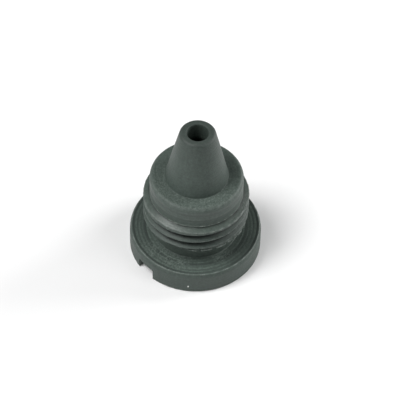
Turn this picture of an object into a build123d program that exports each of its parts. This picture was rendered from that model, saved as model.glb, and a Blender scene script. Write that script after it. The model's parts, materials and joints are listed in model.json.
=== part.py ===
from build123d import *
from math import asin, cos, radians, sin, sqrt, tan
import os

# Screw-in pneumatic exhaust muffler, G 1/4 thread, nose up, slotted head at the bottom.
# Millimetres, +Z up. The origin is the centre of the head's underside; Z is the thread axis.
# The driver slot in the underside runs along X.

# ---- flanged head -----------------------------------------------------------------
HEAD_R = 8.25            # outside radius of the flanged head
HEAD_WALL_TOP = 2.47     # top of the head's upright wall
HEAD_TOP_R = 8.04        # radius of the head's upper face
HEAD_CROWN_R = 1.27      # arc between the upright wall and the upper face's edge
HEAD_TOP = 3.17          # height of the upper face, the sealing seat
HEAD_FOOT_BREAK = 0.12   # broken edge round the foot
SLOT_WIDTH = 2.56        # driver slot, along X
SLOT_DEPTH = 1.60
SLOT_CORNER_R = 0.30     # rounded corner between the slot's roof and its walls

# ---- undercut neck and thread (ISO 228 G 1/4, 19 threads per inch, 55 degree form) ---
NECK_R = 5.35
NECK_FOOT_R = 0.10       # fillet where the neck meets the head
NECK_TOP = 5.95          # the thread starts here
THREAD_R = 13.157 / 2    # crest radius
THREAD_PITCH = 25.4 / 19
THREAD_DEPTH = 0.856
FLANK_ANGLE = 27.5       # half of the 55 degree profile angle
ROOT_FLAT = 0.24         # width of the groove floor
GROOVE_CLEAR = 0.30      # how far the cutting profile stands outside the crests
LEAD_IN_BOTTOM = 9.42    # chamfer that runs from the crests in to the pilot collar
LEAD_IN_TOP = 9.75
LEAD_OUT = 0.12          # height of the end face's cone, from the neck out to the crests
GROOVE_ANGLE = 252.5     # angle about Z at which the groove starts
GROOVE_START = 4.50      # height of the groove's start, in the open space round the neck
GROOVE_TURNS = 3.50      # it runs out through the lead-in chamfer

# ---- pilot collar and nose ----------------------------------------------------------
COLLAR_R = 5.79
SHOULDER_TOP = 12.90
SHOULDER_EDGE_R = 0.55   # rounded edge between the collar and the shoulder
NOSE_BASE_R = 3.91
NOSE_TOP_R = 2.18        # the nose's side carried up to the tip's height
NOSE_TOP = 20.67
NOSE_EDGE_R = 0.50       # rounded edge round the tip
INLET_R = 1.315          # inlet bore at the tip
INLET_BREAK = 0.10       # broken edge round the inlet

# ---- silencing chamber, open below ----------------------------------------------------
BORE_R = 4.50
BORE_TOP = 11.90         # ceiling of the chamber, the stack's upper stop
BORE_BREAK = 0.30        # chamfer at the chamber's mouth
DIFFUSER_BASE_R = 3.00   # the inlet flares down to this radius at the ceiling
DIFFUSER_TOP = 18.30
GROOVE_R = 4.70          # retaining ring groove, 9.4 mm across
GROOVE_BOTTOM = 2.00
GROOVE_HEIGHT = 0.90

# ---- stack inside the chamber, from the retaining ring up -------------------------------
DISC_R = 4.45            # rigid discs: 0.05 mm clear of the bore
FELT_R = 4.48
RING_THICK = 0.80
OUTLET_PLATE_THICK = 0.80
SCREEN_THICK = 0.25
FELT_THICK = 1.90
BAFFLE_THICK = 0.50

RING_SEAT = GROOVE_BOTTOM
OUTLET_PLATE_Z = RING_SEAT + RING_THICK
OUTLET_SCREEN_Z = OUTLET_PLATE_Z + OUTLET_PLATE_THICK
FELT_OUTER_Z = OUTLET_SCREEN_Z + SCREEN_THICK
BAFFLE_OUTER_Z = FELT_OUTER_Z + FELT_THICK
FELT_MIDDLE_Z = BAFFLE_OUTER_Z + BAFFLE_THICK
BAFFLE_INNER_Z = FELT_MIDDLE_Z + FELT_THICK
FELT_INNER_Z = BAFFLE_INNER_Z + BAFFLE_THICK
INLET_SCREEN_Z = FELT_INNER_Z + FELT_THICK
SPACER_Z = INLET_SCREEN_Z + SCREEN_THICK

SPACER_BORE_R = 3.40
FELT_EDGE_BREAK = 0.12
PLATE_EDGE_BREAK = 0.10

OUTLET_HOLE_R = 0.45
OUTLET_HOLE_PITCH = 1.65
BAFFLE_HOLE_R = 0.50
BAFFLE_RIM_CIRCLE_R = 3.10   # the inner baffle's holes lie on this circle
BAFFLE_RIM_HOLES = 8
BAFFLE_CORE_PITCH = 1.45     # the outer baffle's holes are gathered round the axis
MESH_PITCH = 0.72
MESH_OPENING = 0.46
MESH_FIELD_R = 3.75          # openings are kept inside this radius
RING_OUTER_R = 4.68
RING_INNER_R = 3.85
RING_GAP_ANGLE = 26.0        # half of the angle left open between the ring's lugs
LUG_WIDTH_ANGLE = 21.0       # angle that each lug takes up
LUG_INNER_R = 2.75
LUG_HOLE_R = 0.45
LUG_HOLE_CIRCLE_R = 3.50
RING_GAP_MIDDLE = 270.0      # the gap faces -Y

CUT_CLEARANCE = 0.50         # how far cutting shapes stand out past the part
PATTERN_SLACK = 0.10         # added to a hole pattern's outer limit
SECTOR_STEPS = 8             # straight sides of a pie slice's rim


def turned(points):
    """Solid of revolution about Z from (radius, height) points."""
    outline = Polyline(*points, close=True)
    return revolve(Plane.XZ * make_face(outline), axis=Axis.Z, revolution_arc=360)


def disc(radius, bottom, thick, edge=0.0):
    """Flat disc; edge is the chamfer on both rims."""
    if not edge:
        return turned([(0, bottom), (radius, bottom), (radius, bottom + thick), (0, bottom + thick)])
    top = bottom + thick
    return turned([(0, bottom), (radius - edge, bottom), (radius, bottom + edge),
                   (radius, top - edge), (radius - edge, top), (0, top)])


def drill(solid, centres, radius, bottom, thick):
    """Cuts upright holes of one radius at the centres."""
    middle = bottom + thick / 2
    return solid - [Pos(x, y, middle) * Cylinder(radius, 2 * thick) for x, y in centres]


def hex_rows(pitch, limit):
    """Centres of a hexagonal pattern within the limit radius."""
    row_step = pitch * sqrt(3) / 2
    reach = int(limit / row_step) + 1
    centres = []
    for row in range(-reach, reach + 1):
        for column in range(-reach, reach + 1):
            x, y = (column + (row % 2) / 2) * pitch, row * row_step
            if sqrt(x * x + y * y) <= limit:
                centres.append((x, y))
    return centres


def shell_blank():
    """Outside of the body before the thread and the slot are cut."""
    foot = Polyline((0, 0), (HEAD_R - HEAD_FOOT_BREAK, 0), (HEAD_R, HEAD_FOOT_BREAK),
                    (HEAD_R, HEAD_WALL_TOP))
    crown_middle = asin((HEAD_TOP - HEAD_WALL_TOP) / HEAD_CROWN_R) / 2
    crown = ThreePointArc(
        (HEAD_R, HEAD_WALL_TOP),
        (HEAD_R - HEAD_CROWN_R * (1 - cos(crown_middle)), HEAD_WALL_TOP + HEAD_CROWN_R * sin(crown_middle)),
        (HEAD_TOP_R, HEAD_TOP))
    shank = Polyline((HEAD_TOP_R, HEAD_TOP), (NECK_R, HEAD_TOP), (NECK_R, NECK_TOP),
                     (THREAD_R, NECK_TOP + LEAD_OUT), (THREAD_R, LEAD_IN_BOTTOM), (COLLAR_R, LEAD_IN_TOP),
                     (COLLAR_R, SHOULDER_TOP), (NOSE_BASE_R, SHOULDER_TOP), (NOSE_TOP_R, NOSE_TOP),
                     (0, NOSE_TOP), (0, 0))
    outline = make_face(foot + crown + shank)
    rounded = {(NECK_R, HEAD_TOP): NECK_FOOT_R, (COLLAR_R, SHOULDER_TOP): SHOULDER_EDGE_R,
               (NOSE_TOP_R, NOSE_TOP): NOSE_EDGE_R}
    for corner, radius in rounded.items():
        outline = fillet(outline.vertices().sort_by_distance(corner)[0], radius)
    return revolve(Plane.XZ * outline, axis=Axis.Z, revolution_arc=360)


def thread_groove():
    """Helical V groove, right hand, cut into the blank."""
    root_r = THREAD_R - THREAD_DEPTH
    reach = THREAD_DEPTH + GROOVE_CLEAR
    spread = reach * tan(radians(FLANK_ANGLE))
    path = Helix(pitch=THREAD_PITCH, height=GROOVE_TURNS * THREAD_PITCH, radius=root_r)
    half = ROOT_FLAT / 2
    section = make_face(Polyline((root_r, -half), (root_r + reach, -half - spread),
                                 (root_r + reach, half + spread), (root_r, half), close=True))
    cutter = sweep(Plane.XZ * section, path=path, is_frenet=True)
    return Pos(0, 0, GROOVE_START) * Rot(0, 0, GROOVE_ANGLE) * cutter


def chamber():
    """Air space inside the body: stack bore, ring groove, diffuser and inlet."""
    mouth = CUT_CLEARANCE
    ring_top = GROOVE_BOTTOM + GROOVE_HEIGHT
    return turned([
        (0, -mouth), (BORE_R + BORE_BREAK + mouth, -mouth), (BORE_R, BORE_BREAK),
        (BORE_R, GROOVE_BOTTOM), (GROOVE_R, GROOVE_BOTTOM), (GROOVE_R, ring_top), (BORE_R, ring_top),
        (BORE_R, BORE_TOP), (DIFFUSER_BASE_R, BORE_TOP), (INLET_R, DIFFUSER_TOP),
        (INLET_R, NOSE_TOP - INLET_BREAK), (INLET_R + INLET_BREAK + mouth, NOSE_TOP + mouth),
        (0, NOSE_TOP + mouth)])


def driver_slot():
    """Slot straight across the underside, with rounded roof corners."""
    length = 4 * HEAD_R
    blank = Box(length, SLOT_WIDTH, 2 * SLOT_DEPTH)
    upper_edges = blank.edges().filter_by(Axis.X).group_by(Axis.Z)[-1]
    return fillet(upper_edges, SLOT_CORNER_R)


def muffler_body():
    """One-piece shell: nose, collar, threaded shank and slotted head."""
    body = shell_blank() - chamber()
    body = body - thread_groove()
    return body - driver_slot()


def perforated_disc(radius, bottom, thick, centres, hole_r):
    return drill(disc(radius, bottom, thick, PLATE_EDGE_BREAK), centres, hole_r, bottom, thick)


def outlet_plate():
    """Perforated end plate the air leaves through."""
    centres = hex_rows(OUTLET_HOLE_PITCH, 2 * OUTLET_HOLE_PITCH + PATTERN_SLACK)
    return perforated_disc(DISC_R, OUTLET_PLATE_Z, OUTLET_PLATE_THICK, centres, OUTLET_HOLE_R)


def baffle_outer():
    """Baffle with its holes round the axis."""
    centres = hex_rows(BAFFLE_CORE_PITCH, BAFFLE_CORE_PITCH + PATTERN_SLACK)
    return perforated_disc(DISC_R, BAFFLE_OUTER_Z, BAFFLE_THICK, centres, BAFFLE_HOLE_R)


def baffle_inner():
    """Baffle with its holes near the rim, so the air cannot pass straight through."""
    turns = [radians(360 * i / BAFFLE_RIM_HOLES) for i in range(BAFFLE_RIM_HOLES)]
    centres = [(BAFFLE_RIM_CIRCLE_R * cos(turn), BAFFLE_RIM_CIRCLE_R * sin(turn)) for turn in turns]
    return perforated_disc(DISC_R, BAFFLE_INNER_Z, BAFFLE_THICK, centres, BAFFLE_HOLE_R)


def felt(bottom):
    """Sound-absorbing disc."""
    return disc(FELT_R, bottom, FELT_THICK, FELT_EDGE_BREAK)


def screen(bottom):
    """Fine mesh disc with a solid rim."""
    middle = bottom + SCREEN_THICK / 2
    reach = int(MESH_FIELD_R / MESH_PITCH) + 1
    half = MESH_OPENING / 2
    centres = []
    for row in range(-reach, reach + 1):
        for column in range(-reach, reach + 1):
            x, y = column * MESH_PITCH, row * MESH_PITCH
            if sqrt((abs(x) + half) ** 2 + (abs(y) + half) ** 2) <= MESH_FIELD_R:
                centres.append((x, y))
    tools = [Pos(x, y, middle) * Box(MESH_OPENING, MESH_OPENING, 2 * SCREEN_THICK) for x, y in centres]
    return disc(DISC_R, bottom, SCREEN_THICK) - tools


def spacer_ring():
    """Ring that holds the stack off the ceiling and leaves an expansion space."""
    top = BORE_TOP
    return turned([(SPACER_BORE_R, SPACER_Z), (DISC_R, SPACER_Z),
                   (DISC_R, top - PLATE_EDGE_BREAK), (DISC_R - PLATE_EDGE_BREAK, top),
                   (SPACER_BORE_R, top)])


def sector(radius, start, size):
    """Pie slice sketch from a start angle."""
    turns = [radians(start + size * i / SECTOR_STEPS) for i in range(SECTOR_STEPS + 1)]
    rim = [(radius * cos(turn), radius * sin(turn)) for turn in turns]
    return make_face(Polyline((0, 0), *rim, close=True))


def retaining_ring():
    """Internal spring ring with two drilled lugs, one on each side of its gap."""
    gap_start = RING_GAP_MIDDLE - RING_GAP_ANGLE
    gap_end = RING_GAP_MIDDLE + RING_GAP_ANGLE
    past_ring = 2 * RING_OUTER_R
    band = Circle(RING_OUTER_R) - Circle(RING_INNER_R)
    lugs = Circle(RING_OUTER_R) - Circle(LUG_INNER_R)
    first = sector(past_ring, gap_start - LUG_WIDTH_ANGLE, LUG_WIDTH_ANGLE)
    second = sector(past_ring, gap_end, LUG_WIDTH_ANGLE)
    gap = sector(past_ring, gap_start, 2 * RING_GAP_ANGLE)
    outline = (band - gap) + (lugs & first) + (lugs & second)
    for angle in (gap_start - LUG_WIDTH_ANGLE / 2, gap_end + LUG_WIDTH_ANGLE / 2):
        turn = radians(angle)
        hole = Pos(LUG_HOLE_CIRCLE_R * cos(turn), LUG_HOLE_CIRCLE_R * sin(turn)) * Circle(LUG_HOLE_R)
        outline -= hole
    return Pos(0, 0, RING_SEAT) * extrude(outline, amount=RING_THICK)


PARTS = {
    "muffler_body": muffler_body(),
    "retaining_ring": retaining_ring(),
    "outlet_plate": outlet_plate(),
    "outlet_screen": screen(OUTLET_SCREEN_Z),
    "felt_disc_outer": felt(FELT_OUTER_Z),
    "baffle_plate_outer": baffle_outer(),
    "felt_disc_middle": felt(FELT_MIDDLE_Z),
    "baffle_plate_inner": baffle_inner(),
    "felt_disc_inner": felt(FELT_INNER_Z),
    "inlet_screen": screen(INLET_SCREEN_Z),
    "spacer_ring": spacer_ring(),
}

os.makedirs("parts", exist_ok=True)
for name, part in PARTS.items():
    solids = part.solids()
    part = solids[0] if len(solids) == 1 else part
    part.label = name
    export_step(part, f"parts/{name}.step")
    box = part.bounding_box()
    print(f"{name:20s} solids {len(solids)} valid {part.is_valid} volume {part.volume:9.3f} "
          f"z {box.min.Z:6.3f} to {box.max.Z:6.3f} r {box.max.X:6.3f}")
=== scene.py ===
"""Looks of the pneumatic muffler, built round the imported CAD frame.

Lengths are millimetres unless a name or comment says metres; Blender objects are in metres, nose
up along +Z.
Angles about Z are counted from +X. The driver slot runs along X.
"""
import json
import math

import bmesh
import bpy
import numpy as np
from mathutils import Matrix, Vector


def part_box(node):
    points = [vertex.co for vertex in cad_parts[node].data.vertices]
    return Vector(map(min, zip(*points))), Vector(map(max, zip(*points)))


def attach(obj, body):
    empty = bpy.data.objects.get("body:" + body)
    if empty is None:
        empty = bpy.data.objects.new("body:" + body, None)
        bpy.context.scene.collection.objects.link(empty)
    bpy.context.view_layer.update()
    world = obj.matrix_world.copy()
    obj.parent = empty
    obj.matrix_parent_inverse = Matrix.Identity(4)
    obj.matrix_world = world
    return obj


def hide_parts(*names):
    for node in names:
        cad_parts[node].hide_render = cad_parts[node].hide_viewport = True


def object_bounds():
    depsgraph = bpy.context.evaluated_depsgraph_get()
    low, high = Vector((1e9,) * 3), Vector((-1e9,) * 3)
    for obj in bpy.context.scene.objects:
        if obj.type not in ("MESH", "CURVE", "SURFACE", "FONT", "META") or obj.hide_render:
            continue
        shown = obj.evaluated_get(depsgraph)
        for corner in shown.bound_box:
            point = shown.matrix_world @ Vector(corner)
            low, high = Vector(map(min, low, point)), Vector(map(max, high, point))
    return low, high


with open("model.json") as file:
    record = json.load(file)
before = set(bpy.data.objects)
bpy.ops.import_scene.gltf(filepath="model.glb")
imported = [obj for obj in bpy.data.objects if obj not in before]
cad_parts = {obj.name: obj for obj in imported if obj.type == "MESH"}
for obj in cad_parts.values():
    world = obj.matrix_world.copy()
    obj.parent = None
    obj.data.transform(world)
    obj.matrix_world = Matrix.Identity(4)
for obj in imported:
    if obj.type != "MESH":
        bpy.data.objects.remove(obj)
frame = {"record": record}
CAD_LOW, CAD_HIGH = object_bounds()
MM = 0.001
TAU = 2 * math.pi

# ------------------------------------------------------------------ DIMENSIONS
MOUNTS = {m["name"]: m for m in frame["record"]["mounts"]}
HEAD_R = min(CAD_HIGH.x, CAD_HIGH.y) / MM    # nothing stands outside the CAD mesh's box
NOSE_TOP = CAD_HIGH.z / MM
HEAD_TOP = MOUNTS["seat_face"]["pos_m"][2] / MM
COLLAR_R = MOUNTS["pilot_collar"]["dims"]["r_mm"]
INLET_R = MOUNTS["inlet_bore"]["dims"]["r_mm"]
THREAD_R = MOUNTS["port_thread"]["dims"]["r_mm"]

FOOT_EDGE = 0.12          # rounded edge under the head
HEAD_WALL_TOP = 2.47
HEAD_TOP_R = 8.04
HEAD_CROWN_R = 1.27
RIM_LIP = 0.03            # burr that stands up from the head's upper edge
NECK_R = 5.35
NECK_FOOT_R = 0.10
NECK_TOP = 5.95
THREAD_PITCH = 25.4 / 19
THREAD_DEPTH = 0.856
ROOT_FLAT = 0.24
FLANK_ANGLE = math.radians(27.5)
LEAD_OUT_TOP = NECK_TOP + 0.03   # end of the cone from the neck out to the crests
LEAD_IN_BOTTOM = 9.42
LEAD_IN_TOP = 9.75
GROOVE_START = 4.50
GROOVE_ANGLE = math.radians(252.5)
GROOVE_FADE = (3.35, 3.66)    # turns over which the thread groove runs out
SHOULDER_TOP = 12.90
SHOULDER_EDGE = 0.55
NOSE_BASE_R = 3.91
NOSE_FOOT_R = 0.04
NOSE_TOP_R = 2.18
NOSE_EDGE = 0.50
INLET_EDGE = 0.10
DIFFUSER_TOP = 18.30
DIFFUSER_BASE_R = 3.00
BORE_R = 4.50
BORE_TOP = 11.90
BORE_EDGE = 0.30
RING_GROOVE_R = 4.70
RING_GROOVE = (2.00, 2.90)
SLOT_WIDTH = 2.56
SLOT_DEPTH = 1.60
SLOT_CORNER = 0.30
SLOT_EDGE = 0.07
CAMERA_SIDE = math.radians(228.2)   # angle about Z of the side that is seen first
BURR_Z = LEAD_IN_TOP + 0.10         # burr on the collar's lower edge
UNDER_COLLAR_Z = LEAD_IN_TOP - 0.05   # fine groove under that burr, painted dark as shade
INSIDE_RIM_R = HEAD_TOP_R - 0.32    # darker ring just inside the head's rim
NICK_Z = 0.98                       # the one pale nick on the head's side
FLOOR_GAP = 0.02                    # the floor lies this far under the foot

# Spring ring, spacer and stamped plates
RING_INNER_R = 3.85
RING_LUG_INNER_R = 2.75
RING_HOLE_CIRCLE_R = 3.50
RING_GAP_HALF = math.radians(26)
RING_LUG_SPAN = math.radians(21)
RING_GAP_SIDE = math.radians(270)   # the gap faces -Y
SPACER_INNER_R = 3.40
BAFFLE_RIM_CIRCLE_R = 3.10
PLATE_HOLE_R = 0.45
BAFFLE_HOLE_R = 0.50

# Woven screens and felts
WIRE_R = 0.058
WIRE_PITCH = 0.36
SCREEN_RIM = 0.55
FIBRE_R = 0.018
FIBRES_TRIED = 150

# ------------------------------------------------------------------ SMALL TOOLS


def smoothstep(low, high, x):
    """Smooth rise from 0 at low to 1 at high; low may be the larger one."""
    t = np.clip((x - low) / (high - low), 0, 1)
    return t * t * (3 - 2 * t)


def smooth_min(a, b, radius):
    """Smaller of a and b with a rounded corner."""
    h = np.clip(0.5 + 0.5 * (b - a) / radius, 0, 1)
    return b + (a - b) * h - radius * h * (1 - h)


def smooth_max(a, b, radius):
    return -smooth_min(-a, -b, radius)


def wobble(theta, seed, low, high):
    """Random waves round the axis between two wave counts, about -1 to 1, the same on every run."""
    rng = np.random.default_rng(seed)
    counts = np.arange(low, high + 1)
    total = np.zeros_like(theta)
    for count, phase, size in zip(counts, rng.uniform(0, TAU, counts.size), rng.normal(0, 1, counts.size)):
        total = total + size * np.sin(count * theta + phase)
    return total / math.sqrt(counts.size)


def near_angle(theta, centre, half_width):
    """1 at the centre angle, falling to 0 at half_width away, all in radians."""
    away = np.abs((theta - centre + math.pi) % TAU - math.pi)
    return 1 - smoothstep(0.45 * half_width, half_width, away)


def polar(points):
    """Radius, height and angle about Z of every point."""
    return np.hypot(points[:, 0], points[:, 1]), points[:, 2], np.arctan2(points[:, 1], points[:, 0])


def bell(x, centre, width):
    """1 at the centre, falling off on both sides like a bell."""
    return np.exp(-(((x - centre) / width) ** 2))


def slab(x, centre, width):
    """Like bell, with a flatter top and steeper sides."""
    return np.exp(-(((x - centre) / width) ** 4))


def line(start, end, count):
    """Points from start towards end, without the end."""
    t = np.arange(count) / count
    return [(start[0] + (end[0] - start[0]) * s, start[1] + (end[1] - start[1]) * s) for s in t]


def arc(centre, radius, start, end, count):
    """Points on an arc, in degrees, without the end."""
    angles = np.radians(start + (end - start) * np.arange(count) / count)
    return [(centre[0] + radius * math.cos(a), centre[1] + radius * math.sin(a)) for a in angles]


def mesh_object(name, points, faces):
    """Object from points in millimetres."""
    mesh = bpy.data.meshes.new(name)
    mesh.from_pydata([tuple(p) for p in np.asarray(points) * MM], [], faces)
    mesh.update()
    made = bpy.data.objects.new(name, mesh)
    bpy.context.scene.collection.objects.link(made)
    return made


def ring_faces(rows, columns, closed_rows):
    """Quads of a grid whose columns wrap round, and whose rows may."""
    faces = []
    for row in range(rows if closed_rows else rows - 1):
        below, above = row * columns, (row + 1) % rows * columns
        for column in range(columns):
            after = (column + 1) % columns
            faces.append((below + column, below + after, above + after, above + column))
    return faces


def turned_grid(outline, columns):
    """Angle, radius and height grids of a (radius, height) outline turned round Z."""
    theta = np.arange(columns) / columns * TAU
    angle, r = np.meshgrid(theta, outline[:, 0])
    _, z = np.meshgrid(theta, outline[:, 1])
    return angle, r, z


def grid_points(angle, r, z):
    return np.stack([r * np.cos(angle), r * np.sin(angle), z], axis=-1).reshape(-1, 3)


def turn_faces_out(mesh, weld=0.0):
    """Outward normals, once points closer together than weld metres are merged."""
    work = bmesh.new()
    work.from_mesh(mesh)
    if weld > 0:
        bmesh.ops.remove_doubles(work, verts=work.verts, dist=weld)
    bmesh.ops.recalc_face_normals(work, faces=work.faces)
    work.to_mesh(mesh)
    work.free()


def shade_with_edges(mesh, sharp_degrees):
    """Smooth shading with real edges kept sharp."""
    mesh.shade_smooth()
    mesh.set_sharp_from_angle(angle=math.radians(sharp_degrees))


def finish_mesh(made, sharp_degrees=35):
    turn_faces_out(made.data, weld=1e-7)
    shade_with_edges(made.data, sharp_degrees)


def place(made, node, material):
    """Gives a piece one material, hangs it under the root empty and hides the CAD node it stands for."""
    made.data.materials.clear()
    made.data.materials.append(material)
    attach(made, "root")
    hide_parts(node)
    return made


# ------------------------------------------------------------------ BODY SHAPE


def body_outline():
    """Closed (radius, height) outline of the body's wall, from the chamber's mouth out and up."""
    lip = RIM_LIP
    crown = math.degrees(math.asin((HEAD_TOP - HEAD_WALL_TOP) / HEAD_CROWN_R))
    flare = math.hypot(LEAD_IN_TOP - LEAD_IN_BOTTOM, THREAD_R - COLLAR_R)
    nose_lean = math.degrees(math.atan2(NOSE_BASE_R - NOSE_TOP_R, NOSE_TOP - SHOULDER_TOP))
    edge_turn = NOSE_EDGE * math.tan(math.radians((90 - nose_lean) / 2))
    tip_centre = (NOSE_TOP_R - edge_turn, NOSE_TOP - NOSE_EDGE)
    side_end = (tip_centre[0] + NOSE_EDGE * math.cos(math.radians(nose_lean)),
                tip_centre[1] + NOSE_EDGE * math.sin(math.radians(nose_lean)))
    points = line((BORE_R + BORE_EDGE, 0), (HEAD_R - FOOT_EDGE, 0), 24)
    points += arc((HEAD_R - FOOT_EDGE, FOOT_EDGE), FOOT_EDGE, -90, 0, 5)
    points += line((HEAD_R, FOOT_EDGE), (HEAD_R, HEAD_WALL_TOP), 26)
    points += arc((HEAD_R - HEAD_CROWN_R, HEAD_WALL_TOP), HEAD_CROWN_R, 0, crown, 10)
    points += [(HEAD_TOP_R, HEAD_TOP), (HEAD_TOP_R - lip, HEAD_TOP + 0.4 * lip),
               (HEAD_TOP_R - 2.5 * lip, HEAD_TOP + 0.2 * lip)]
    points += line((HEAD_TOP_R - 4 * lip, HEAD_TOP), (NECK_R + NECK_FOOT_R, HEAD_TOP), 26)
    points += arc((NECK_R + NECK_FOOT_R, HEAD_TOP + NECK_FOOT_R), NECK_FOOT_R, 270, 180, 5)
    points += line((NECK_R, HEAD_TOP + NECK_FOOT_R), (NECK_R, NECK_TOP), 12)
    points += line((NECK_R, NECK_TOP), (THREAD_R, LEAD_OUT_TOP), 16)
    points += line((THREAD_R, LEAD_OUT_TOP), (THREAD_R, LEAD_OUT_TOP + 0.4), 14)
    points += line((THREAD_R, LEAD_OUT_TOP + 0.4), (THREAD_R, LEAD_IN_BOTTOM), 60)
    points += line((THREAD_R, LEAD_IN_BOTTOM), (COLLAR_R, LEAD_IN_TOP), int(flare / 0.05))
    points += line((COLLAR_R, LEAD_IN_TOP), (COLLAR_R, LEAD_IN_TOP + 0.4), 9)
    points += line((COLLAR_R, LEAD_IN_TOP + 0.4), (COLLAR_R, SHOULDER_TOP - SHOULDER_EDGE), 14)
    points += arc((COLLAR_R - SHOULDER_EDGE, SHOULDER_TOP - SHOULDER_EDGE), SHOULDER_EDGE, 0, 90, 8)
    points += line((COLLAR_R - SHOULDER_EDGE, SHOULDER_TOP), (NOSE_BASE_R + NOSE_FOOT_R, SHOULDER_TOP), 8)
    points += arc((NOSE_BASE_R + NOSE_FOOT_R, SHOULDER_TOP + NOSE_FOOT_R), NOSE_FOOT_R, 270,
                  180 + nose_lean, 4)
    points += line((NOSE_BASE_R - NOSE_FOOT_R * math.tan(math.radians(nose_lean)),
                    SHOULDER_TOP + NOSE_FOOT_R), side_end, 46)
    points += arc(tip_centre, NOSE_EDGE, nose_lean, 90, 8)
    points += line((tip_centre[0], NOSE_TOP), (INLET_R + INLET_EDGE, NOSE_TOP), 5)
    points += arc((INLET_R + INLET_EDGE, NOSE_TOP - INLET_EDGE), INLET_EDGE, 90, 180, 4)
    points += line((INLET_R, NOSE_TOP - INLET_EDGE), (INLET_R, DIFFUSER_TOP), 10)
    points += line((INLET_R, DIFFUSER_TOP), (DIFFUSER_BASE_R, BORE_TOP), 16)
    points += line((DIFFUSER_BASE_R, BORE_TOP), (BORE_R, BORE_TOP), 5)
    points += line((BORE_R, BORE_TOP), (BORE_R, RING_GROOVE[1]), 22)
    points += line((BORE_R, RING_GROOVE[1]), (RING_GROOVE_R, RING_GROOVE[1]), 2)
    points += line((RING_GROOVE_R, RING_GROOVE[1]), (RING_GROOVE_R, RING_GROOVE[0]), 4)
    points += line((RING_GROOVE_R, RING_GROOVE[0]), (BORE_R, RING_GROOVE[0]), 2)
    points += line((BORE_R, RING_GROOVE[0]), (BORE_R, BORE_EDGE), 12)
    points += line((BORE_R, BORE_EDGE), (BORE_R + BORE_EDGE, 0), 3)
    return np.array(points)


def thread_cut(theta, z):
    """How deep the helical groove is below the crests, at an angle and a height."""
    turn_part = ((theta - GROOVE_ANGLE) % TAU) / TAU
    turns_up = (z - GROOVE_START) / THREAD_PITCH - turn_part
    turn = np.round(turns_up)
    offset = np.abs(turns_up - turn) * THREAD_PITCH
    flank = (offset - ROOT_FLAT / 2) / math.tan(FLANK_ANGLE)
    rounding = 0.10
    height = smooth_min(smooth_max(flank, 0.0, rounding), THREAD_DEPTH, rounding)
    fade = 1 - smoothstep(*GROOVE_FADE, turn + turn_part)
    return (THREAD_DEPTH - height) * fade * (turn > -0.5)


def torn_flash(theta):
    """How much of the torn flash is left along the lowest crest's edge, 0 to 1."""
    left = np.clip(1.25 + 0.45 * wobble(theta, 5, 8, 48), 0, 1)
    return left * near_angle(theta, CAMERA_SIDE + 0.60, 1.20)


def add_flash(theta, r, z):
    """Radius with the thin torn fin that hangs from the thread's lower edge."""
    fin = slab(z, NECK_TOP + 0.04, 0.05) * torn_flash(theta)
    slit = slab(z, NECK_TOP + 0.24, 0.12) * near_angle(theta, CAMERA_SIDE + 0.25, 0.95)
    thinned = np.maximum(r - 0.45 * slit, NECK_R)
    return thinned + (THREAD_R - 0.02 - thinned) * fin


def body_offsets(theta, r, z):
    """Radial and upward offsets that turn the clean outline into a worn, moulded one."""
    dr = np.zeros_like(r)
    dz = np.zeros_like(r)
    outer = (r > COLLAR_R - 0.01) | (z > BORE_TOP + 1.01)

    # ragged crests, and flash torn along the lowest one
    crest = smoothstep(THREAD_R - 0.10, THREAD_R, r) * (z > NECK_TOP) * (z < LEAD_IN_TOP)
    dr -= crest * 0.022 * (1 + wobble(theta + 2.1 * z, 3, 9, 60))
    # wavy burr on the collar's lower edge, and the fine groove under it
    on_collar = outer * (np.abs(r - COLLAR_R) < 0.25)
    edge_z = BURR_Z + 0.03 * wobble(theta, 7, 5, 26)
    front = near_angle(theta, CAMERA_SIDE, math.radians(38))
    left = near_angle(theta, CAMERA_SIDE - math.radians(68), math.radians(34))
    burr = bell(z, edge_z, 0.05)
    dr += on_collar * burr * (0.016 + 0.050 * front * (0.7 + 0.4 * wobble(theta, 8, 8, 40)))
    groove = bell(z, UNDER_COLLAR_Z, 0.06 + 0.03 * left)
    dr -= outer * groove * (r < COLLAR_R + 0.3) * (0.02 + 0.10 * front + 0.05 * left)

    # nicked rim of the head, and a slightly uneven foot edge
    rim = bell(r, HEAD_TOP_R, 0.07) * bell(z, HEAD_TOP, 0.06)
    dz += rim * 0.018 * wobble(theta, 11, 20, 120)
    dr -= rim * 0.022 * (1 + wobble(theta, 12, 14, 90))
    foot = bell(r, HEAD_R, 0.12) * bell(z, 0, 0.10)
    dr -= foot * 0.010 * (1 + wobble(theta, 13, 10, 60))

    # moulded surfaces are never quite true
    nose = smoothstep(SHOULDER_TOP + 0.2, SHOULDER_TOP + 1.0, z) * (r > INLET_R + 0.3)
    nose *= 1 - smoothstep(NOSE_TOP - 0.5, NOSE_TOP - 0.1, z)
    dr += nose * 0.012 * wobble(theta, 17, 2, 7) * np.sin(0.8 * z)
    collar = (np.abs(r - COLLAR_R) < 0.02) * smoothstep(LEAD_IN_TOP, LEAD_IN_TOP + 0.3, z)
    dr += collar * (0.007 * np.sin(TAU * z / 0.34) + 0.006 * np.sin(TAU * z / 0.93 + 1.0))
    top = (np.abs(z - HEAD_TOP) < 0.01) * (r < HEAD_TOP_R - 0.15) * (r > NECK_R + 0.3)
    dz += top * (0.006 * np.sin(TAU * r / 0.26) + 0.006 * np.sin(TAU * r / 0.47 + 2.0))
    shoulder = (np.abs(z - SHOULDER_TOP) < 0.01) * (r > NOSE_BASE_R + 0.2)
    dz -= shoulder * 0.006 * (1 + wobble(theta + 3 * r, 19, 10, 50))
    return dr, dz


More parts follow.
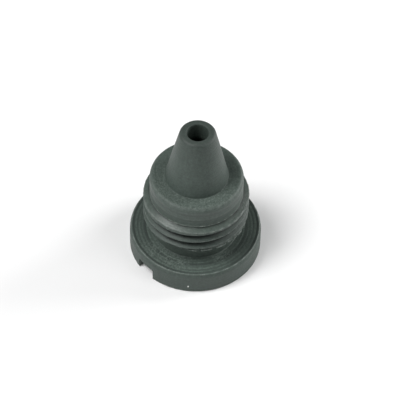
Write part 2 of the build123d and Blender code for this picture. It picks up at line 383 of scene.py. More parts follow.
def body_mesh(columns):
    outline = body_outline()
    angle, r, z = turned_grid(outline, columns)
    threaded = (z > NECK_TOP - 0.01) & (z < LEAD_IN_TOP + 0.5) & (r > NECK_R - 0.01)
    r = np.where(threaded, np.minimum(r, smooth_min(r, THREAD_R - thread_cut(angle, z), 0.04)), r)
    r = np.where(threaded, np.maximum(r, NECK_R), r)
    r = np.where(threaded & (z > NECK_TOP + 0.01), add_flash(angle, r, z), r)
    dr, dz = body_offsets(angle, r, z)
    r, z = np.minimum(r + dr, HEAD_R), np.clip(z + dz, 0, NOSE_TOP)
    return mesh_object("body_shell", grid_points(angle, r, z), ring_faces(len(outline), columns, True))


def slot_section(spread):
    """(y, z) outline of the driver slot's cutter; spread widens it where it leaves the head."""
    half = SLOT_WIDTH / 2 + spread
    roof = SLOT_DEPTH + spread
    side = [(half + SLOT_EDGE, -0.5)]
    side += [(half + SLOT_EDGE * (1 - math.cos(a)), SLOT_EDGE * (1 - math.sin(a)))
             for a in np.linspace(math.pi / 2, 0, 6)]
    side += [(half - SLOT_CORNER * (1 - math.cos(a)), roof - SLOT_CORNER * (1 - math.sin(a)))
             for a in np.linspace(0, math.pi / 2, 7)]
    return side + [(-y, z) for y, z in reversed(side)]


def slot_cutter():
    """Slot through the head along X, with its edges rounded where it meets the wall and the bore."""
    rounding = 1.2 * SLOT_EDGE
    wall_x = HEAD_R - 0.10      # the curved wall is nearer than HEAD_R at the slot's corners
    steps = [BORE_R - 1, BORE_R]
    steps += list(BORE_R + SLOT_EDGE * np.linspace(0.2, 1.2, 6)) + [HEAD_R - 1]
    steps += list(wall_x - SLOT_EDGE * np.linspace(1.2, 0.0, 7)) + [HEAD_R, HEAD_R + 1]
    stations = [-x for x in reversed(steps)] + steps
    rings = []
    for x in stations:
        to_wall = np.clip((abs(x) - (wall_x - rounding)) / rounding, 0, 1)
        to_bore = np.clip((BORE_R + rounding - abs(x)) / rounding, 0, 1)
        reach = max(to_wall, to_bore)
        spread = SLOT_EDGE * (1 - math.sqrt(1 - reach * reach))
        rings.append([(x, y, z) for y, z in slot_section(spread)])
    count = len(rings[0])
    points = [p for ring in rings for p in ring]
    faces = ring_faces(len(rings), count, False)
    faces.append(tuple(range(count)))
    faces.append(tuple(reversed(range(len(points) - count, len(points)))))
    cutter = mesh_object("slot_cutter", points, faces)
    turn_faces_out(cutter.data)
    return cutter


def apply_modifiers(made):
    """Replaces the object's mesh with what its modifiers make of it."""
    made_from = made.evaluated_get(bpy.context.evaluated_depsgraph_get())
    mesh = bpy.data.meshes.new_from_object(made_from)
    made.modifiers.clear()
    made.data = mesh


def edge_wear(points):
    """How rubbed each point of the body is, 0 to 1.5, from its distance to the real edges."""
    r, z, theta = polar(points)
    patchy = np.clip(0.75 + 0.35 * wobble(theta, 23, 6, 50), 0.2, 1.4)
    edges = [  # radius, height, reach, strength
        (HEAD_TOP_R + 0.01, HEAD_TOP, 0.062, 1.1), (HEAD_R, 0.0, 0.16, 0.45),
        (COLLAR_R, BURR_Z + 0.03, 0.085, 1.2), (THREAD_R, LEAD_IN_BOTTOM, 0.14, 0.4),
        (COLLAR_R - 0.10, SHOULDER_TOP - 0.12, 0.24, 0.25)]
    wear = np.zeros_like(r)
    for edge_r, edge_z, reach, strength in edges:
        wear += strength * np.exp(-(((r - edge_r) ** 2 + (z - edge_z) ** 2) / reach ** 2)) * patchy
    crest = smoothstep(THREAD_R - 0.14, THREAD_R - 0.02, r) * (z > NECK_TOP) * (z < LEAD_IN_TOP)
    flash = torn_flash(theta) * (1 - smoothstep(NECK_TOP + 0.08, NECK_TOP + 0.14, z)) * (z > NECK_TOP)
    flash *= smoothstep(THREAD_R - 0.4, THREAD_R - 0.1, r)
    wear += 0.22 * crest * patchy + 1.3 * flash
    return np.clip(wear, 0, 1.5)


def on_seat(r, z):
    """True on the flat of the head's upper face."""
    return (np.abs(z - HEAD_TOP) < 0.05) * (r > NECK_R + 0.15) * (r < HEAD_TOP_R - 0.10)


def grime(points):
    """How dark each point is painted, 0 to 1.

    Painted shade in the thread roots, the groove under the collar, the neck's foot and patches on the
    right and back of the head's upper face; the tip and a ring inside the rim are darker too.
    """
    r, z, theta = polar(points)
    in_thread = smoothstep(NECK_TOP + 0.08, NECK_TOP + 0.14, z)
    in_thread *= 1 - smoothstep(LEAD_IN_BOTTOM - 0.15, LEAD_IN_BOTTOM + 0.08, z)
    # painted shade deep in the thread roots, where the crest above shades the flank
    crease_shade = in_thread * (r > NECK_R + 0.1) * smoothstep(0.22, 0.62, THREAD_R - r)
    # painted shade in the fine groove under the collar's burr
    line_z = UNDER_COLLAR_Z + 0.02 * wobble(theta, 29, 5, 30)
    under_collar_shade = bell(z, line_z, 0.10) * bell(r, COLLAR_R + 0.05, 0.16)
    crease_shade += 0.9 * under_collar_shade * np.clip(0.8 + 0.4 * wobble(theta, 30, 3, 20), 0, 1)
    # painted shade at the neck's foot
    crease_shade += 0.05 * bell(r, NECK_R, 0.30) * bell(z, HEAD_TOP, 0.35)
    # the nose darkens towards its tip
    tip = 0.22 * smoothstep(SHOULDER_TOP + 3.0, NOSE_TOP, z)
    tip += 0.28 * smoothstep(NOSE_TOP - 0.35, NOSE_TOP - 0.05, z)
    # painted shade on the right and the back of the head's upper face; the ring just inside the rim is
    # darker too
    right_seat_shade = near_angle(theta, CAMERA_SIDE + 1.00, 0.50)
    back_seat_shade = near_angle(theta, CAMERA_SIDE - 2.2, 0.8)
    seat = 0.22 * bell(r, INSIDE_RIM_R, 0.14) + 0.24 * right_seat_shade + 0.18 * back_seat_shade
    return np.clip(crease_shade + (r > INLET_R) * tip + on_seat(r, z) * seat, 0, 1)


def polish(points):
    """How far the lead-in cone, the collar and the neck are burnished, the same all the way round."""
    r, z, _ = polar(points)
    cone = smoothstep(LEAD_IN_BOTTOM - 0.02, LEAD_IN_BOTTOM + 0.05, z) * (z < LEAD_IN_TOP + 0.05)
    cone *= smoothstep(0.02, 0.10, r - COLLAR_R)
    side = smoothstep(LEAD_IN_TOP + 0.1, LEAD_IN_TOP + 0.4, z)
    side *= smoothstep(0.05, 0.0, np.abs(r - COLLAR_R))
    neck = smoothstep(0.10, 0.0, np.abs(r - NECK_R)) * (z > HEAD_TOP) * (z < NECK_TOP)
    return cone + 0.3 * side + 0.5 * neck


def dust_and_sheen_room(points):
    """How thick dust lies, 0 to 1.5, with painted highlight patches on the head; none on the thread,
    little on the tip.
    """
    r, z, theta = polar(points)
    above_head = 0.30 + 0.70 * near_angle(theta, CAMERA_SIDE - 0.3, 2.1)
    # painted highlights: a lighter patch on the front left of the head's upper face and one on its right
    # beside the neck
    left_sheen_patch = near_angle(theta, CAMERA_SIDE - 0.60, 0.62)
    neck_sheen_patch = near_angle(theta, CAMERA_SIDE + 0.62, 0.30) * smoothstep(7.0, 6.2, r)
    on_head = (0.15 + 1.3 * left_sheen_patch + 1.3 * neck_sheen_patch) * (1 - 0.9 * bell(r, INSIDE_RIM_R, 0.16))
    patches = np.where(z < HEAD_TOP + 0.1, on_head, above_head)
    in_thread = smoothstep(NECK_TOP - 0.1, NECK_TOP, z)
    in_thread *= 1 - smoothstep(LEAD_IN_TOP, LEAD_IN_TOP + 0.1, z)
    on_tip = smoothstep(NOSE_TOP - 1.0, NOSE_TOP - 0.5, z)
    return np.clip(1 - in_thread - 0.7 * on_tip, 0, 1) * np.clip(patches, 0, 1.5)


def lathe_marks_and_sheen(points):
    """Fine rings left by the tool on the head's upper face and the collar, light above 0, dark below; the
    light and dark bands are partly painted sheen and shade.
    """
    r, z, theta = polar(points)
    drift = 0.25 * wobble(theta, 33, 1, 4)
    rings = np.sin(TAU * r / 0.83 + drift) + np.sin(TAU * r / 0.47 + 1.3 + 2 * drift)
    rings += np.sin(TAU * r / 1.9 + 2.2)
    lines = np.sin(TAU * z / 1.10 + 0.4 + drift) + np.sin(TAU * z / 0.52 + 2 * drift)
    collar = smoothstep(0.10, 0.02, np.abs(r - COLLAR_R)) * smoothstep(LEAD_IN_TOP, LEAD_IN_TOP + 0.2, z)
    seat = 0.70 * rings - 1.6 * bell(r, INSIDE_RIM_R, 0.14)
    strength = np.clip(0.75 + 0.4 * wobble(theta + r, 35, 2, 12), 0, 1.2)
    return strength * (on_seat(r, z) * seat + 0.50 * collar * lines)


def pale_nick(points):
    """Mask of the one pale nick low on the head's side."""
    angle = CAMERA_SIDE - math.radians(5.2)
    centre = np.array([HEAD_R * math.cos(angle), HEAD_R * math.sin(angle), NICK_Z])
    away = (points - centre) / np.array([0.08, 0.08, 0.17])
    return np.exp(-np.sum(away ** 2, axis=1))


def write_attribute(made, name, values):
    layer = made.data.attributes.new(name, "FLOAT", "POINT")
    layer.data.foreach_set("value", np.asarray(values, np.float32))


def make_body():
    shell = body_mesh(384)
    turn_faces_out(shell.data)
    cutter = slot_cutter()
    cut = shell.modifiers.new("slot", "BOOLEAN")
    cut.operation = "DIFFERENCE"
    cut.solver = "EXACT"
    cut.object = cutter
    apply_modifiers(shell)
    bpy.data.objects.remove(cutter)
    finish_mesh(shell, 32)
    points = np.array([v.co for v in shell.data.vertices]) / MM
    for name, values in (("wear", edge_wear), ("speck", pale_nick), ("grime", grime),
                         ("polish", polish), ("dust", dust_and_sheen_room), ("marks", lathe_marks_and_sheen)):
        write_attribute(shell, name, values(points))
    return shell


# ------------------------------------------------------------------ INNER PIECES


def node_span(node):
    """(radius, bottom, top) of a round CAD node in millimetres."""
    low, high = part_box(node)
    return high.x / MM, low.z / MM, high.z / MM


def flat_plate(name, loops, bottom, top, edge):
    """Plate from closed (x, y) loops, holes among them, with rounded edges."""
    outline = bpy.data.curves.new(name, "CURVE")
    outline.dimensions = "2D"
    outline.fill_mode = "BOTH"
    outline.extrude = ((top - bottom) / 2 - edge) * MM
    outline.bevel_depth = edge * MM
    outline.bevel_resolution = 2
    outline.offset = -edge * MM
    for loop in loops:
        spline = outline.splines.new("POLY")
        spline.points.add(len(loop) - 1)
        for point, (x, y) in zip(spline.points, loop):
            point.co = (x * MM, y * MM, 0, 1)
        spline.use_cyclic_u = True
    drawn = bpy.data.objects.new(name + "_outline", outline)
    bpy.context.scene.collection.objects.link(drawn)
    bpy.context.view_layer.update()
    mesh = bpy.data.meshes.new_from_object(drawn.evaluated_get(bpy.context.evaluated_depsgraph_get()))
    mesh.transform(Matrix.Translation((0, 0, (bottom + top) / 2 * MM)))
    bpy.data.objects.remove(drawn)
    made = bpy.data.objects.new(name, mesh)
    bpy.context.scene.collection.objects.link(made)
    finish_mesh(made)
    return made


def circle(radius, centre=(0, 0), count=48):
    angles = np.arange(count) / count * TAU
    return [(centre[0] + radius * math.cos(a), centre[1] + radius * math.sin(a)) for a in angles]


def hex_centres(pitch, limit):
    centres = []
    for row in range(-6, 7):
        for column in range(-6, 7):
            x, y = (column + (row % 2) / 2) * pitch, row * pitch * math.sqrt(3) / 2
            if math.hypot(x, y) <= limit:
                centres.append((x, y))
    return centres


def make_plate(node, centres, hole_r, edge):
    radius, bottom, top = node_span(node)
    loops = [circle(radius, count=128)] + [circle(hole_r, centre, 28) for centre in centres]
    return flat_plate(node + "_stamped", loops, bottom, top, edge)


def make_ring():
    """Spring ring: band with two drilled lugs and a gap that faces -Y."""
    radius, bottom, top = node_span("retaining_ring")
    gap_end, gap_start = RING_GAP_SIDE + RING_GAP_HALF, RING_GAP_SIDE + TAU - RING_GAP_HALF
    loop = []

    def sweep(r, start, end, count):
        for t in np.linspace(start, end, count):
            loop.append((r * math.cos(t), r * math.sin(t)))

    sweep(radius, gap_end, gap_start, 140)
    sweep(RING_LUG_INNER_R, gap_start, gap_start - RING_LUG_SPAN, 10)
    sweep(RING_INNER_R, gap_start - RING_LUG_SPAN, gap_end + RING_LUG_SPAN, 120)
    sweep(RING_LUG_INNER_R, gap_end + RING_LUG_SPAN, gap_end, 10)
    holes = []
    for side in (-1, 1):
        at = RING_GAP_SIDE + side * (RING_GAP_HALF + RING_LUG_SPAN / 2)
        centre = (RING_HOLE_CIRCLE_R * math.cos(at), RING_HOLE_CIRCLE_R * math.sin(at))
        holes.append(circle(PLATE_HOLE_R, centre, 28))
    return flat_plate("spring_ring", [loop] + holes, bottom, top, edge=0.06)


def make_spacer():
    radius, bottom, top = node_span("spacer_ring")
    inner, edge = SPACER_INNER_R, 0.12
    points = line((inner + edge, bottom), (radius - edge, bottom), 6)
    for centre, start in (((radius - edge, bottom + edge), -90), ((radius - edge, top - edge), 0),
                          ((inner + edge, top - edge), 90), ((inner + edge, bottom + edge), 180)):
        points += arc(centre, edge, start, start + 90, 6)
    columns = 160
    angle, r, z = turned_grid(np.array(points), columns)
    r = np.minimum(r + 0.008 * wobble(angle, 31, 2, 9), radius)
    made = mesh_object("spacer_moulded", grid_points(angle, r, z), ring_faces(len(points), columns, True))
    finish_mesh(made, 60)
    return made


def tube(path, radius, sides=6):
    """Points and faces of a closed-ended tube along a path that stays near the XY plane."""
    path = np.asarray(path, float)
    along = np.gradient(path, axis=0)
    along /= np.linalg.norm(along, axis=1, keepdims=True)
    across = np.cross(along, (0, 0, 1))
    across /= np.linalg.norm(across, axis=1, keepdims=True)
    up = np.cross(across, along)
    turns = np.arange(sides) / sides * TAU
    rings = [path + radius * (math.cos(a) * across + math.sin(a) * up) for a in turns]
    points = np.stack(rings, axis=1).reshape(-1, 3)
    faces = ring_faces(len(path), sides, False)
    faces.append(tuple(reversed(range(sides))))
    faces.append(tuple(range(len(points) - sides, len(points))))
    return points, faces


def gather(parts):
    """One list of points and faces from several."""
    points, faces, start = [], [], 0
    for part_points, part_faces in parts:
        points.append(part_points)
        faces += [tuple(i + start for i in face) for face in part_faces]
        start += len(part_points)
    return np.concatenate(points), faces


def make_screen(node):
    """Plain-weave wire disc, its wire ends pressed into a thin rim."""
    radius, bottom, top = node_span(node)
    middle, half = (bottom + top) / 2, (top - bottom) / 2
    wave = half - WIRE_R - 0.005
    parts = []
    for along_x in (True, False):
        for index in range(-12, 13):
            offset = index * WIRE_PITCH
            reach = (radius - SCREEN_RIM / 2) ** 2 - offset ** 2
            if reach < 0.5:
                continue
            run = np.linspace(-math.sqrt(reach), math.sqrt(reach), 90)
            side = 1 if along_x else -1
            lift = side * (1 if index % 2 else -1) * wave * np.cos(math.pi * run / WIRE_PITCH)
            still = np.full_like(run, offset)
            path = [run, still, middle + lift] if along_x else [still, run, middle + lift]
            parts.append(tube(np.stack(path, axis=1), WIRE_R))
    inner, edge, columns = radius - SCREEN_RIM, 0.05, 128
    corners = [(inner, bottom + edge), (inner + edge, bottom), (radius - edge, bottom),
               (radius, bottom + edge), (radius, top - edge), (radius - edge, top),
               (inner + edge, top), (inner, top - edge)]
    ring = []
    for start, end, count in zip(corners, corners[1:] + corners[:1], (2, 3, 2, 2, 2, 3, 2, 2)):
        ring += line(start, end, count)
    rim_points = grid_points(*turned_grid(np.array(ring), columns))
    parts.append((rim_points, ring_faces(len(ring), columns, True)))
    made = mesh_object(node + "_woven", *gather(parts))
    shade_with_edges(made.data, 50)
    return made


def make_felt(node, seed):
    """Felt disc: pressed faces with hollows, a soft cut edge and loose fibres."""
    radius, bottom, top = node_span(node)
    edge, columns, face_rows = 0.22, 144, 26
    lower = line((0.02, bottom), (radius - edge, bottom), face_rows)
    upper = line((radius - edge, top), (0.02, top), face_rows)
    outline = lower + arc((radius - edge, bottom + edge), edge, -90, 0, 5)
    outline += line((radius, bottom + edge), (radius, top - edge), 8)
    outline += arc((radius - edge, top - edge), edge, 0, 90, 5) + upper + [(0.02, top)]
    angle, r, z = turned_grid(np.array(outline), columns)
    x, y = r * np.cos(angle), r * np.sin(angle)
    rng = np.random.default_rng(seed)
    lumps = np.zeros_like(x)
    for _ in range(60):
        heading, waves = rng.uniform(0, TAU), rng.uniform(2, 14)
        along = x * math.cos(heading) + y * math.sin(heading) + 0.7 * z
        lumps += np.sin(waves * along + rng.uniform(0, TAU))
    depth = 0.025 * (1 + lumps / 8)
    middle = (bottom + top) / 2
    z = z - np.sign(z - middle) * depth * smoothstep(0.3, 0.9, np.abs(z - middle) / (top - middle))
    r = r - depth * smoothstep(radius - 0.4, radius, r)
    points = grid_points(angle, np.minimum(r, radius), np.clip(z, bottom, top))
    faces = ring_faces(len(outline), columns, False)
    faces.append(tuple(reversed(range(columns))))
    faces.append(tuple(range(len(points) - columns, len(points))))
    parts = [(points, faces)]
    for _ in range(FIBRES_TRIED):
        start = rng.uniform(0, TAU)
        distance, heading = radius * 0.93 * math.sqrt(rng.uniform()), rng.uniform(0, TAU)
        face_z = rng.choice((bottom + 0.022, top - 0.022))
        run = np.linspace(-0.5, 0.5, 9)
        bend = rng.uniform(-0.5, 0.5)
        fx = distance * math.cos(start) + run * math.cos(heading) - bend * run ** 2 * math.sin(heading)
        fy = distance * math.sin(start) + run * math.sin(heading) + bend * run ** 2 * math.cos(heading)
        if np.max(np.hypot(fx, fy)) > radius - 0.1:
            continue
        parts.append(tube(np.stack([fx, fy, np.full_like(fx, face_z)], axis=1), FIBRE_R, 5))
    made = mesh_object(node + "_pressed", *gather(parts))
    shade_with_edges(made.data, 70)
    return made


# ------------------------------------------------------------------ MATERIALS


class Shader:
    """A node material with short helpers; every helper returns an output socket."""

    def __init__(self, name):
        self.material = bpy.data.materials.new(name)
        self.material.use_nodes = True
        self.tree = self.material.node_tree
        self.surface = self.tree.nodes["Principled BSDF"]
        self.place = self.tree.nodes.new("ShaderNodeNewGeometry").outputs["Position"]

    def feed(self, socket, value):
        if isinstance(value, bpy.types.NodeSocket):
            self.tree.links.new(value, socket)
        else:
            socket.default_value = value

    def node(self, kind, inputs, output=0, **settings):
        made = self.tree.nodes.new("ShaderNode" + kind)
        for key, value in settings.items():
            setattr(made, key, value)
        for key, value in inputs.items():
            self.feed(made.inputs[key], value)
        return made.outputs[output]

    def stretched(self, x, y, z):
        """Position in millimetres, scaled along each axis."""
        return self.node("VectorMath", {0: self.place, 1: (x / MM, y / MM, z / MM)}, operation="MULTIPLY")

    def noise(self, scale, detail=4.0, vector=None, roughness=0.55):
        vector = vector or self.stretched(1, 1, 1)
        return self.node("TexNoise", {"Vector": vector, "Scale": scale, "Detail": detail,
                                      "Roughness": roughness})

    def math(self, operation, a, b=0.0, clamp=False):
        return self.node("Math", {0: a, 1: b}, operation=operation, use_clamp=clamp)

    def between(self, value, low, high, to_low=0.0, to_high=1.0):
        return self.node("MapRange", {"Value": value, "From Min": low, "From Max": high,
                                      "To Min": to_low, "To Max": to_high})

    def mix(self, factor, first, second, blend="MIX"):
        made = self.tree.nodes.new("ShaderNodeMix")
        made.data_type = "RGBA"
        made.blend_type = blend
        self.feed(made.inputs["Factor"], factor)
        colour_a, colour_b, colour_result = made.inputs[6], made.inputs[7], made.outputs[2]
        self.feed(colour_a, first)
        self.feed(colour_b, second)
        return colour_result

    def attribute(self, name):
        made = self.tree.nodes.new("ShaderNodeAttribute")
        made.attribute_name = name
        return made.outputs["Fac"]

    def up(self):
        """How far the surface faces up, -1 to 1."""
        normal = self.tree.nodes.new("ShaderNodeNewGeometry").outputs["Normal"]
        return self.node("SeparateXYZ", {0: normal}, output=2)

    def rings(self, scale):
        """Noise that is constant round the axis, like the marks a lathe tool leaves."""
        flat = self.node("VectorMath", {0: self.place, 1: (1 / MM, 1 / MM, 0)}, operation="MULTIPLY")
        radius = self.node("VectorMath", {0: flat}, output=1, operation="LENGTH")
        height = self.node("SeparateXYZ", {0: self.stretched(1, 1, 1)}, output=2)
        return self.noise(scale, 3.0, self.node("CombineXYZ", {0: radius, 1: height}))

    def bump(self, height, distance_mm, strength=1.0, below=None):
        inputs = {"Height": height, "Distance": distance_mm * MM, "Strength": strength}
        if below is not None:
            inputs["Normal"] = below
        return self.node("Bump", inputs)

    def set(self, **values):
        for key, value in values.items():
            self.feed(self.surface.inputs[key.replace("_", " ")], value)


def rgba(red, green, blue):
    return (red, green, blue, 1.0)


BODY_DARK = rgba(0.038, 0.052, 0.044)
BODY_LIGHT = rgba(0.048, 0.065, 0.055)
BODY_STREAK = rgba(0.064, 0.084, 0.072)
TOOL_MARK_SHADE_TONE = rgba(0.030, 0.041, 0.036)     # bottom of a turning mark, darker partly as painted shade
BURNISHED = rgba(0.240, 0.280, 0.245)
# tone of the dust, and of the painted highlight patches on the head's upper face
DUST_AND_SHEEN_TONE = rgba(0.108, 0.136, 0.118)
# tone of the painted shade, and of the darker tip and rim ring
SHADE_AND_DARKENING_TONE = rgba(0.010, 0.013, 0.012)
RUBBED = rgba(0.215, 0.245, 0.225)
PALE_NICK = rgba(0.75, 0.78, 0.75)
TOOL_MARK_SHEEN_GAIN = 1.9                           # how much lighter the top of a turning mark is, partly a painted sheen


def body_material():
    """Matt dark greenish-grey polymer, turned after moulding, dusty where it faces up, with painted shade
    and highlights.
    """
    s = Shader("body_polymer")
    cloud = s.noise(0.35, 3.0)
    mottle = s.noise(3.1, 6.0, roughness=0.75)
    colour = s.mix(cloud, BODY_DARK, BODY_LIGHT)
    streaks = s.noise(2.4, 3.0, s.stretched(1.6, 1.6, 0.12))
    colour = s.mix(s.between(streaks, 0.35, 0.75, 0.0, 0.5), colour, BODY_STREAK)
    shade = s.between(mottle, 0.34, 0.66, 0.62, 1.38)
    colour = s.mix(1.0, colour, s.node("CombineColor", {0: shade, 1: shade, 2: shade}), "MULTIPLY")
    # turning marks: tops painted lighter and bottoms darker, partly as painted sheen and shade
    gained = s.mix(1.0, colour, rgba(TOOL_MARK_SHEEN_GAIN, TOOL_MARK_SHEEN_GAIN, TOOL_MARK_SHEEN_GAIN), "MULTIPLY")
    mark_top = s.mix(0.5, colour, gained)
    colour = s.mix(s.between(s.attribute("marks"), -1.0, 1.0, 0.0, 0.9), TOOL_MARK_SHADE_TONE, mark_top)
    # dust on faces that point up, with painted highlight patches on the head's upper face
    facing_up = s.math("MULTIPLY", s.between(s.up(), 0.55, 0.98), s.attribute("dust"))
    specks = s.between(s.noise(4.2, 6.0, roughness=0.80), 0.48, 0.60)
    dust = s.math("MULTIPLY", facing_up, specks, clamp=True)
    colour = s.mix(s.math("MULTIPLY", dust, 0.80), colour, DUST_AND_SHEEN_TONE)
    burnished = s.attribute("polish")
    colour = s.mix(s.math("MULTIPLY", burnished, 0.08), colour, BURNISHED)
    # painted shade in the thread roots, under the collar, at the neck's foot and in patches on the head's
    # upper face; the tip and a ring inside the rim darken too
    colour = s.mix(s.math("MULTIPLY", s.attribute("grime"), 0.85), colour, SHADE_AND_DARKENING_TONE)
    rub = s.math("MULTIPLY", s.attribute("wear"), s.between(s.noise(7.0, 4.0), 0.30, 0.62), clamp=True)
    colour = s.mix(s.math("MULTIPLY", rub, 0.85), colour, RUBBED)
    colour = s.mix(s.between(s.attribute("speck"), 0.25, 0.6), colour, PALE_NICK)
    rough = s.between(mottle, 0.3, 0.7, 0.46, 0.62)
    rough = s.math("ADD", rough, s.math("MULTIPLY", dust, 0.15))
    rough = s.math("SUBTRACT", rough, s.math("MULTIPLY", burnished, 0.22))
    low_bump = s.bump(s.noise(16.0, 4.0), 0.012, 0.7)
    mid_bump = s.bump(mottle, 0.05, 0.55, below=low_bump)
    tool_bump = s.bump(s.rings(5.5), 0.06, 0.65, below=mid_bump)
    s.set(Base_Color=colour, Roughness=rough, Normal=tool_bump)
    s.surface.inputs["Specular IOR Level"].default_value = 0.35
    return s.material


def metal_material(name, dark, light, roughness, marks_scale):
    """Stamped or drawn metal: tool marks, stains and rubbed places."""
    s = Shader(name)
    marks = s.noise(marks_scale, 6.0, s.stretched(1, 0.08, 1))
    stain = s.noise(1.1, 4.0)
    colour = s.mix(s.between(marks, 0.3, 0.7), dark, light)
    colour = s.mix(s.between(stain, 0.52, 0.75, 0.0, 0.5), colour,
                   tuple(0.55 * c for c in dark[:3]) + (1.0,))
    rough = s.between(s.noise(6.0, 4.0), 0.3, 0.7, roughness - 0.08, roughness + 0.10)
    s.set(Base_Color=colour, Roughness=rough, Normal=s.bump(marks, 0.006, 0.6))
    s.surface.inputs["Metallic"].default_value = 1.0
    return s.material


def felt_material():
    """Pressed fibres that cross each other, with dark flecks."""
    s = Shader("felt")
    fibres = s.noise(6.0, 6.0, s.stretched(1, 0.25, 1), roughness=0.7)
    crossing = s.noise(6.0, 6.0, s.stretched(0.25, 1, 1), roughness=0.7)
    mat = s.math("MAXIMUM", fibres, crossing)
    colour = s.mix(s.between(mat, 0.45, 0.72), rgba(0.34, 0.32, 0.27), rgba(0.68, 0.66, 0.60))
    flecks = s.between(s.noise(3.2, 3.0), 0.64, 0.72, 0.0, 0.6)
    colour = s.mix(flecks, colour, rgba(0.20, 0.19, 0.17))
    s.set(Base_Color=colour, Roughness=s.between(mat, 0.3, 0.7, 0.98, 0.85),
          Normal=s.bump(mat, 0.05, 0.8))
    return s.material


def spacer_material():
    """Satin moulded polymer with scuffs."""
    s = Shader("spacer_polymer")
    colour = s.mix(s.noise(1.2, 4.0), rgba(0.085, 0.10, 0.098), rgba(0.12, 0.14, 0.135))
    colour = s.mix(s.between(s.noise(8.0, 5.0), 0.6, 0.8, 0.0, 0.4), colour, rgba(0.22, 0.23, 0.23))
    s.set(Base_Color=colour, Roughness=s.between(s.noise(10.0, 4.0), 0.3, 0.7, 0.38, 0.55),
          Normal=s.bump(s.noise(18.0, 4.0), 0.01, 0.6))
    return s.material


def floor_material():
    s = Shader("pale_floor")
    colour = s.mix(s.noise(0.05, 3.0), rgba(0.79, 0.79, 0.79), rgba(0.81, 0.81, 0.81))
    s.set(Base_Color=colour, Roughness=s.between(s.noise(0.2, 3.0), 0.3, 0.7, 0.85, 0.95))
    return s.material


# ------------------------------------------------------------------ STAGE


def stage_direction(beside_camera, elevation):
    """Unit vector towards a light, by its angle from the camera's side (right positive) in degrees."""
    angle = CAMERA_SIDE + math.radians(beside_camera)
    lift = math.radians(elevation)
    return Vector((math.cos(angle) * math.cos(lift), math.sin(angle) * math.cos(lift), math.sin(lift)))


LAMP_DISTANCE = 0.30
LAMPS = (  # name, degrees right of the camera's side, elevation, width and height in metres, watts
    ("key_softbox", -74, 60, (0.14, 0.14), 0.86),
    ("right_softbox", 66, 44, (0.16, 0.16), 0.20),
    ("low_right_softbox", 112, 22, (0.14, 0.12), 0.76),
    ("low_front_softbox", -42, 18, (0.26, 0.12), 0.20),
    ("low_back_softbox", -118, 18, (0.20, 0.12), 0.08),
)
WORLD_COLOUR = rgba(0.98, 0.99, 1.0)
WORLD_STRENGTH = 0.11
FLOOR_HALF = 0.9      # metres


def area_light(name, beside_camera, elevation, size, watts):
    light = bpy.data.lights.new(name, "AREA")
    light.shape = "RECTANGLE"
    light.size, light.size_y = size
    light.energy = watts
    lamp = bpy.data.objects.new(name, light)
    bpy.context.scene.collection.objects.link(lamp)
    aim = Vector((0, 0, NOSE_TOP * MM / 3))
    lamp.location = aim + stage_direction(beside_camera, elevation) * LAMP_DISTANCE
    lamp.rotation_euler = (aim - lamp.location).to_track_quat("-Z", "Y").to_euler()


def make_stage():
    """Pale floor, soft lamps and an even grey-white surround."""
    work = bmesh.new()
    bmesh.ops.create_grid(work, x_segments=24, y_segments=24, size=FLOOR_HALF)
    mesh = bpy.data.meshes.new("floor")
    work.to_mesh(mesh)
    work.free()
    floor = bpy.data.objects.new("floor", mesh)
    bpy.context.scene.collection.objects.link(floor)
    floor.location.z = -FLOOR_GAP * MM
    floor.data.materials.append(floor_material())
    for lamp in LAMPS:
        area_light(*lamp)
    world = bpy.data.worlds.new("studio")
    world.use_nodes = True
    surround = world.node_tree.nodes["Background"]
    surround.inputs["Color"].default_value = WORLD_COLOUR
    surround.inputs["Strength"].default_value = WORLD_STRENGTH
    bpy.context.scene.world = world
    bpy.context.scene.view_settings.view_transform = "Standard"


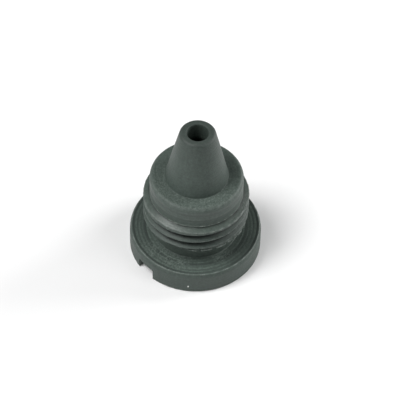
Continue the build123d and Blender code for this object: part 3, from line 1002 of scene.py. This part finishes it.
def make_camera():
    """Camera above the near side, slightly tipped, turned and rolled."""
    elevation, distance = math.radians(51.55), 0.3040
    pitch_up, yaw_right, roll = math.radians(0.953), math.radians(0.092), math.radians(1.42)
    data = bpy.data.cameras.new("camera")
    data.lens, data.sensor_width = 216.0, 36.0
    data.clip_start, data.clip_end = 0.01, 10
    camera = bpy.data.objects.new("camera", data)
    bpy.context.scene.collection.objects.link(camera)
    back = Vector((math.cos(CAMERA_SIDE) * math.cos(elevation),
                   math.sin(CAMERA_SIDE) * math.cos(elevation), math.sin(elevation)))
    aim = (-back).to_track_quat("-Z", "Y").to_matrix()
    turn = (Matrix.Rotation(pitch_up, 3, "X") @ Matrix.Rotation(-yaw_right, 3, "Y")
            @ Matrix.Rotation(roll, 3, "Z"))
    camera.matrix_world = Matrix.Translation(back * distance) @ (aim @ turn).to_4x4()
    bpy.context.scene.camera = camera


# ------------------------------------------------------------------ THE OBJECT

make_camera()
make_stage()

plate_metal = metal_material("plate_aluminium", rgba(0.55, 0.56, 0.57), rgba(0.78, 0.79, 0.80),
                             roughness=0.38, marks_scale=3.0)
ring_metal = metal_material("ring_spring_steel", rgba(0.10, 0.10, 0.105), rgba(0.24, 0.24, 0.25),
                            roughness=0.42, marks_scale=5.0)
wire_metal = metal_material("wire_stainless", rgba(0.42, 0.42, 0.41), rgba(0.68, 0.68, 0.66),
                            roughness=0.30, marks_scale=9.0)
felt_fibre = felt_material()

place(make_body(), "muffler_body", body_material())
place(make_ring(), "retaining_ring", ring_metal)
outlet_holes = hex_centres(pitch=1.65, limit=3.4)
middle_holes = hex_centres(pitch=1.45, limit=1.55)
rim_holes = circle(BAFFLE_RIM_CIRCLE_R, count=8)
place(make_plate("outlet_plate", outlet_holes, PLATE_HOLE_R, edge=0.07),
      "outlet_plate", plate_metal)
for baffle_node, holes in (("baffle_plate_outer", middle_holes), ("baffle_plate_inner", rim_holes)):
    place(make_plate(baffle_node, holes, BAFFLE_HOLE_R, edge=0.06), baffle_node, plate_metal)
for number, felt_node in enumerate(("felt_disc_outer", "felt_disc_middle", "felt_disc_inner")):
    place(make_felt(felt_node, 41 + number), felt_node, felt_fibre)
for screen_node in ("outlet_screen", "inlet_screen"):
    place(make_screen(screen_node), screen_node, wire_metal)
place(make_spacer(), "spacer_ring", spacer_material())
